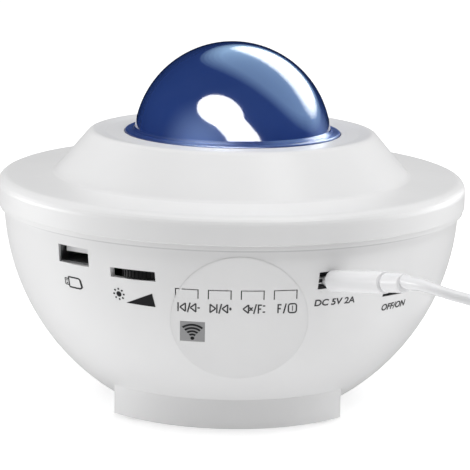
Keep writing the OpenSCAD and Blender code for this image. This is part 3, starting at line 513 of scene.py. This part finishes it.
def words(text, height, width):
    """Flat faces of a short word, centred, of that letter height and overall width."""
    letters = bpy.data.curves.new("letters", "FONT")
    letters.body = text
    letters.offset = letter_boldness
    holder = placed("letters", letters)
    data = bpy.data.meshes.new_from_object(
        holder.evaluated_get(bpy.context.evaluated_depsgraph_get()))
    bpy.data.objects.remove(holder)
    places = [v.co.copy() for v in data.vertices]
    left, right = min(p.x for p in places), max(p.x for p in places)
    low, high = min(p.y for p in places), max(p.y for p in places)
    faces = []
    for face in data.polygons:
        faces.append([Vector(((places[i].x - (left + right) / 2) * width / (right - left),
                              (places[i].y - low) * height / (high - low)))
                      for i in face.vertices])
    bpy.data.meshes.remove(data)
    return faces


stroke = 0.46
upright = bar((0, -1.6), (0, 1.6), stroke)
arrow_left = outline([(-1.0, 0), (0.8, 1.5), (0.8, -1.5)], stroke)
arrow_right = outline([(1.0, 0), (-0.8, -1.5), (-0.8, 1.5)], stroke)
slash = bar((-0.4, -1.75), (0.4, 1.75), stroke)
minus = bar((-0.4, 0), (0.4, 0), stroke)
plus = minus + bar((0, -0.5), (0, 0.5), stroke)
cross = bar((-0.5, -0.6), (0.5, 0.6), stroke) + bar((-0.5, 0.6), (0.5, -0.6), stroke)
flag = upright + bar((0, 1.4), (1.1, 1.4), stroke) + bar((0, 0), (0.9, 0), stroke)
battery = outline([(-1.3, -1.1), (-0.8, -1.6), (0.8, -1.6), (1.3, -1.1), (1.3, 1.1), (0.8, 1.6),
                   (-0.8, 1.6), (-1.3, 1.1)], stroke)
sign_row_height = 49.0
key_middles = [-13.25, -2.8, 8.2, 19.0]
key_signs = [
    moved(upright, -3.4, 0) + moved(arrow_left, -1.8, 0) + moved(slash, 0.1, 0)
    + moved(arrow_left, 1.6, 0) + moved(minus, 3.3, 0),
    moved(arrow_right, -2.6, 0) + moved(upright, -1.2, 0) + moved(slash, -0.1, 0)
    + moved(arrow_left, 1.5, 0) + moved(plus, 3.2, 0),
    moved(arrow_left, -2.7, 0) + moved(cross, -1.1, 0) + moved(slash, 0.2, 0)
    + moved(flag, 1.3, 0) + moved(minus, 3.1, 1.1) + moved(minus, 3.1, -1.1),
    moved(flag, -3.1, 0) + moved(slash, -0.9, 0) + moved(battery, 1.6, 0)
    + moved(upright, 1.6, 0, 0.6),
]
for number, (middle, faces) in enumerate(zip(key_middles, key_signs), 1):
    skin(f"key_sign_{number}", moved(faces, middle, sign_row_height), ink,
         film_lift + ink_lift)

window_middle = (-11.9, 40.15)
wave_start = (0, -2.5)
window_sign = dot(wave_start, 0.65)
for reach in (1.45, 2.65, 3.85, 5.05):
    window_sign += arc(wave_start, reach, 0.7, 50, 130, 14)
skin("window_sign", moved(window_sign, *window_middle), dark_ink, film_lift + ink_lift)

data_azimuth, power_azimuth = -32.0, 34.0
stick = outline([(-1.9, -1.8), (3.0, -1.8), (4.0, -1.2), (3.6, 1.2), (2.9, 1.8), (-1.9, 1.8)],
                0.5)
stick += bar((3.95, -1.3), (3.45, 1.3), 0.8)
stick += outline([(-3.7, -1.1), (-1.9, -1.1), (-1.9, 1.1), (-3.7, 1.1)], 0.32)
stick += dot((-2.8, 0.5), 0.28) + dot((-2.8, -0.5), 0.28)
sun = dot((0, 0), 0.95)
for ray in range(8):
    angle = math.radians(45 * ray)
    across, up = math.cos(angle), math.sin(angle)
    sun += bar((1.5 * across, 1.5 * up), (2.15 * across, 2.15 * up), 0.55)
wedge = patch((0, 0.4), (10.2, 0), (9.7, 4.7))
for name, faces, place, print_ink, azimuth in (
        ("stick_sign", stick, (-12.5, 52.4), dark_ink, data_azimuth),
        ("brightness_sign", sun, (6.6, 51.3), dark_ink, data_azimuth),
        ("brightness_wedge", wedge, (9.0, 48.1), dark_ink, data_azimuth),
        ("supply_words", words("DC 5V 2A", 2.35, 15.0), (-10.7, 49.1), ink, power_azimuth),
        ("switch_words", words("OFF/ON", 2.45, 11.8), (15.6, 44.1), dark_ink, power_azimuth)):
    skin(name, moved(faces, *place), print_ink, ink_lift, azimuth)

# ---- Sockets, wheel and switch ----------------------------------------------------------------
# The USB socket's folded shell holds a white contact carrier. The ribbed brightness wheel and the
# slide switch's knob are moulded in black, and the power jack is black with pale contacts. All
# sit on boards behind plain windows in the bowl.
satin_black = moulded("satin_black", (0.012, 0.012, 0.013), 0.42, grain=0.3 * mm)
paint(satin_black, "brightness_wheel", "switch_knob", "ir_receiver")
jack_low, jack_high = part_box("dc_jack")
contact_rises = (1.8 * mm, 0.1 * mm, -1.9 * mm)
jack_colour, contact_colour = (0.01, 0.01, 0.011, 1), (0.85, 0.85, 0.85, 1)
jack = Finish("jack_black", {"Roughness": 0.4})
contacts = 0
for rise in contact_rises:
    off = (jack.along("Z") - ((jack_low.z + jack_high.z) / 2 + rise)).maths("ABSOLUTE")
    contacts = (1 - off.between(0.12 * mm, 0.26 * mm)) + contacts
jack.feed("Base Color", jack.blend(contacts.clamped(), jack_colour, contact_colour))
jack.bump(jack.noise(0.3 * mm), 0.005 * mm)
paint(jack.material, "dc_jack")
# The USB shell is plated darker than tin, as painted shade for the inside of the socket.
paint(plated("nickel_with_painted_shade", (0.3, 0.3, 0.31), 0.4), "usb_shell")
contact_white = moulded("contact_white", (0.86, 0.86, 0.87), 0.35)
paint(contact_white, "usb_tongue", "drive_pinion", "gear_wheel")
dimmer_grey = moulded("dimmer_grey", (0.16, 0.165, 0.17), 0.5)
paint(dimmer_grey, "pot_case", "optics_tray", "laser_holder", "tact_switches",
      "main_board_parts")

# ---- Screws and rubber pads -------------------------------------------------------------------
# Pan-head self-tapping screws and the motor's shaft, of zinc-plated steel. Soft grey rubber pads
# are pressed into the foot's plate.
zinc = plated("zinc_plate", (0.66, 0.67, 0.66), 0.36, grain=(6, 6, 6))
paint(zinc, "stand_screws", "case_screws", "board_screws", "tray_screws", "motor_screws",
      "speaker_screws", "main_board_screws", "motor_shaft")
pad_rubber = moulded("pad_rubber", (0.12, 0.125, 0.13), 0.75, grain=0.25 * mm, depth=0.03 * mm)
paint(pad_rubber, "foot_pads")

# ---- Circuit boards ---------------------------------------------------------------------------
# Glass laminate under green solder mask, with copper tracks that show as paler lines. The lamp
# board is white, so that it throws the light forward, and lies against the optics tray. The green
# ones are screwed to posts of the housing.


def laminate(name, mask, track):
    """Solder mask over tracks, which lie in rows and stand up a little."""
    made = Finish(name, {"Roughness": 0.35})
    grid = made.place.node("TexBrick", {"offset": 0.5}, {
        "Vector": made.place, "Scale": 1 / (3 * mm), "Mortar Size": 0.06, "Mortar Smooth": 0.3,
        "Brick Width": 1.7, "Row Height": 0.6}, out="Fac")
    made.feed("Base Color", made.blend(grid * 0.8, mask, track))
    made.feed("Roughness", made.noise(3 * mm) * 0.2 + 0.25)
    made.bump(grid, 0.035 * mm)
    return made.material


paint(laminate("green_laminate", (0.01, 0.085, 0.035, 1), (0.03, 0.2, 0.08, 1)),
      "main_board", "key_board", "data_board", "power_board")
paint(laminate("white_laminate", (0.68, 0.69, 0.7, 1), (0.6, 0.61, 0.62, 1)), "led_board")

# ---- Optics -----------------------------------------------------------------------------------
# A laser module of turned brass shines through a grating disc for the stars. Lamps with lenses
# shine through a turning rippled disc for the clouds. Lenses and discs are clear moulded acrylic.
paint(plated("turned_brass", (0.72, 0.52, 0.2), 0.25, grain=(1, 1, 30)), "laser_module")
clear = Finish("clear_acrylic", {"Roughness": 0.08, "IOR": 1.49, "Coat Weight": 0.5,
                                 "Alpha": 0.4})
clear.feed("Base Color", clear.blend(clear.noise(5 * mm), (0.72, 0.8, 0.84, 1),
                                     (0.8, 0.86, 0.9, 1)))
clear.bump(clear.noise(2 * mm), 0.01 * mm)
paint(clear.material, "led_lenses", "grating_disc", "ripple_lens")
paint(moulded("lamp_resin", (0.75, 0.6, 0.12), 0.3), "led_chips")

# ---- Loudspeaker ------------------------------------------------------------------------------
# Enamelled steel basket, sintered magnet, pressed paper cone and a foam-rubber surround. The
# basket is screwed to the foot's plate, and the cone hangs in it by the surround.
enamel = moulded("black_enamel", (0.01, 0.01, 0.011), 0.25, grain=0.6 * mm, depth=0.01 * mm)
paint(enamel, "speaker_frame")
paint(moulded("sintered_ferrite", (0.035, 0.035, 0.037), 0.7, grain=0.2 * mm,
              depth=0.03 * mm), "speaker_magnet")
paint(moulded("paper_pulp", (0.05, 0.048, 0.046), 0.9, grain=0.5 * mm, depth=0.06 * mm,
              spread=0.3), "speaker_cone")
paint(moulded("foam_rubber", (0.012, 0.012, 0.012), 0.85, grain=0.3 * mm, depth=0.05 * mm),
      "speaker_surround")

# ---- Wires ------------------------------------------------------------------------------------
# Stranded hook-up wire in coloured vinyl, from the main board to the loudspeaker, the motor, the
# lamps and the panels. The ends are soldered or crimped into sockets.
paint(moulded("red_vinyl", (0.42, 0.012, 0.01), 0.4), "speaker_wires", "motor_wires")
paint(moulded("yellow_vinyl", (0.65, 0.42, 0.02), 0.4), "led_wires")
paint(moulded("grey_vinyl", (0.14, 0.14, 0.145), 0.4), "panel_wires")

# ---- Floor ------------------------------------------------------------------------------------
# A pale acrylic sheet, lit from within near the projector and in a lane behind it that widens
# with the distance. Its colour paints that pool of light as well: pale where it glows and a plain,
# darker grey further out, where it glows less. No gloss shows it.
floor_half = 6.0
lit_lane_spread = 0.13
lit_reach = (0.14, 0.46)
glow_reach = (0.06, 0.15)
lit_grey, lit_white = (0.79, 0.79, 0.79, 1), (0.81, 0.81, 0.81, 1)
unlit_grey = (0.56, 0.56, 0.56, 1)
near_glow, wide_glow = (0.58, 0.58, 0.58, 1), (0.66, 0.66, 0.66, 1)
far_glow = (0.24, 0.24, 0.24, 1)
floor_data = bpy.data.meshes.new("floor")
floor_data.from_pydata([(-floor_half, -floor_half, 0), (floor_half, -floor_half, 0),
                        (floor_half, floor_half, 0), (-floor_half, floor_half, 0)], [],
                       [(0, 1, 2, 3)])
floor = placed("floor", floor_data)
floor.visible_glossy = False
floor_paint = Finish("lit_acrylic", {"Roughness": 0.9, "Specular IOR Level": 0.0,
                                     "Emission Strength": 0.8})
across, back = floor_paint.along("X"), floor_paint.along("Y")
lit_lane = back.maths("MAXIMUM", 0) * lit_lane_spread
beside = (across.maths("ABSOLUTE") - lit_lane).maths("MAXIMUM", 0)
before = back.maths("MINIMUM", 0)
unlit = (beside * beside + before * before).maths("SQRT").between(*lit_reach)
lit = floor_paint.blend(floor_paint.noise(0.4), lit_grey, lit_white)
# Painted pool of light in the base colour: pale near the projector, darker grey further out.
floor_paint.feed("Base Color", floor_paint.blend(unlit, lit, unlit_grey))
glow = floor_paint.blend(beside.between(*glow_reach), near_glow, wide_glow)
floor_paint.feed("Emission Color", floor_paint.blend(unlit, glow, far_glow))
floor_data.materials.append(floor_paint.material)
floor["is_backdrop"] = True

# ---- Light tent -------------------------------------------------------------------------------
# White cloth all round, dim in front, bright at the sides and less so at the back. Where it is
# seen past the floor it is an even pale grey, and no gloss shows it.
tent_front, tent_sides, tent_back = 0.14, 0.92, 0.54
backdrop = 0.68
room = bpy.data.worlds.new("room")
bpy.context.scene.world = room
room.use_nodes = True
room.cycles_visibility.glossy = False
tent = Tap(room.node_tree).node("TexCoord", out="Generated")
depth = tent.node("SeparateXYZ", {}, {"Vector": tent}, out="Y")
tent_light = (depth.between(-1.0, 0.1) * (tent_sides - tent_front) + tent_front
              - depth.between(0.0, 0.8) * (tent_sides - tent_back))
seen = tent.node("LightPath", out="Is Camera Ray")
background = room.node_tree.nodes["Background"]
background.inputs["Color"].default_value = (1, 1, 1, 1)
room.node_tree.links.new((tent_light * (1 - seen) + seen * backdrop).socket,
                         background.inputs["Strength"])

# ---- Soft boxes and windows -------------------------------------------------------------------
# Soft boxes above and beside the projector give the white housing its shading. The dome mirrors
# windows of its own, two in front and two behind it, and they light nothing else.
dome_middle = Vector((0, 0, 92.1 * mm))
dome_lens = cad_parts["dome_lens"]


def light_group(name, pieces, state):
    """Lets a light reach these pieces alone (INCLUDE) or everything but them (EXCLUDE)."""
    group = bpy.data.collections.new(name)
    for piece in pieces:
        group.objects.link(piece)
    for link in group.collection_objects:
        link.light_linking.link_state = state
    return group


dome_alone = light_group("dome_alone", [dome_lens], "INCLUDE")
all_but_dome = light_group("all_but_dome", [dome_lens], "EXCLUDE")
housing_alone = light_group("housing_alone", [dome_lens, floor], "EXCLUDE")


def soft_box(name, azimuth, elevation, size, radiance, distance=0.9, turn=0.0,
             lights=all_but_dome, colour=(1, 1, 1), shape="RECTANGLE"):
    """An area light that faces the dome's middle. Azimuth 0 is in front, 90 to the right."""
    light = bpy.data.lights.new(name, "AREA")
    light.shape = shape
    light.color = colour
    light.size, light.size_y = size
    area = size[0] * size[1] * (math.pi / 4 if shape == "ELLIPSE" else 1)
    light.energy = radiance * math.pi * area
    made = placed(name, light)
    azimuth, elevation = math.radians(azimuth), math.radians(elevation)
    away = Vector((math.cos(elevation) * math.sin(azimuth),
                   -math.cos(elevation) * math.cos(azimuth), math.sin(elevation)))
    made.matrix_world = (
        Matrix.Translation(dome_middle + distance * away)
        @ (-away).to_track_quat("-Z", "Y").to_matrix().to_4x4()
        @ Matrix.Rotation(-math.radians(turn), 4, "Z")
    )
    made.light_linking.receiver_collection = lights
    made.visible_camera = False
    return made


soft_box("top_box", 0, 78, (1.4, 1.4), 2.18, distance=1.5)
soft_box("left_box", -95, 0, (0.5, 0.17), 6.2, distance=0.6, lights=housing_alone)
soft_box("right_box", 98, 2, (0.4, 0.17), 3.4, distance=0.6, lights=housing_alone)
soft_box("rim_box", 122, 2, (0.4, 0.17), 3.3, distance=0.6, lights=housing_alone)
soft_box("key_box", 55, 58, (0.3, 0.3), 7.6, distance=1.2)

daylight, sky_blue = (1, 1, 1), (0.5, 0.76, 1)
edge_softness = 0.1
for name, azimuth, elevation, turn, size, radiance, colour, shape, steps in (
        ("key_window", -17.8, 40.8, 18.3, (0.94, 0.56), 13.5, daylight, "ELLIPSE", 1),
        ("low_window", 5.2, 20.0, -43, (0.47, 1.1), 13.5, daylight, "RECTANGLE", 1),
        ("strip_window", 140.2, 33.2, 65.7, (0.54, 1.06), 6, daylight, "ELLIPSE", 4),
        ("sky_window", 129.1, 49.5, -32.7, (1.88, 1.4), 2.4, sky_blue, "ELLIPSE", 5)):
    for step in range(steps):
        share = 1 + edge_softness * (step - (steps - 1) / 2)
        window = soft_box(f"{name}_{step + 1}", azimuth, elevation,
                          [side * share for side in size], radiance / steps, turn=turn,
                          lights=dome_alone, colour=colour, shape=shape)
        window.light_linking.blocker_collection = dome_alone
        window.visible_diffuse = False

# ---- Exposure ---------------------------------------------------------------------------------
# Colours are shown as they are, without a film curve, so that white plastic stays white, and the
# picture is cleaned of noise.
scene = bpy.context.scene
scene.view_settings.view_transform = "Standard"
scene.view_settings.look = "None"
scene.cycles.use_denoising = True

# ---- Sizes ------------------------------------------------------------------------------------
# The dressed model's box, over every shown piece but the floor.
low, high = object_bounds()
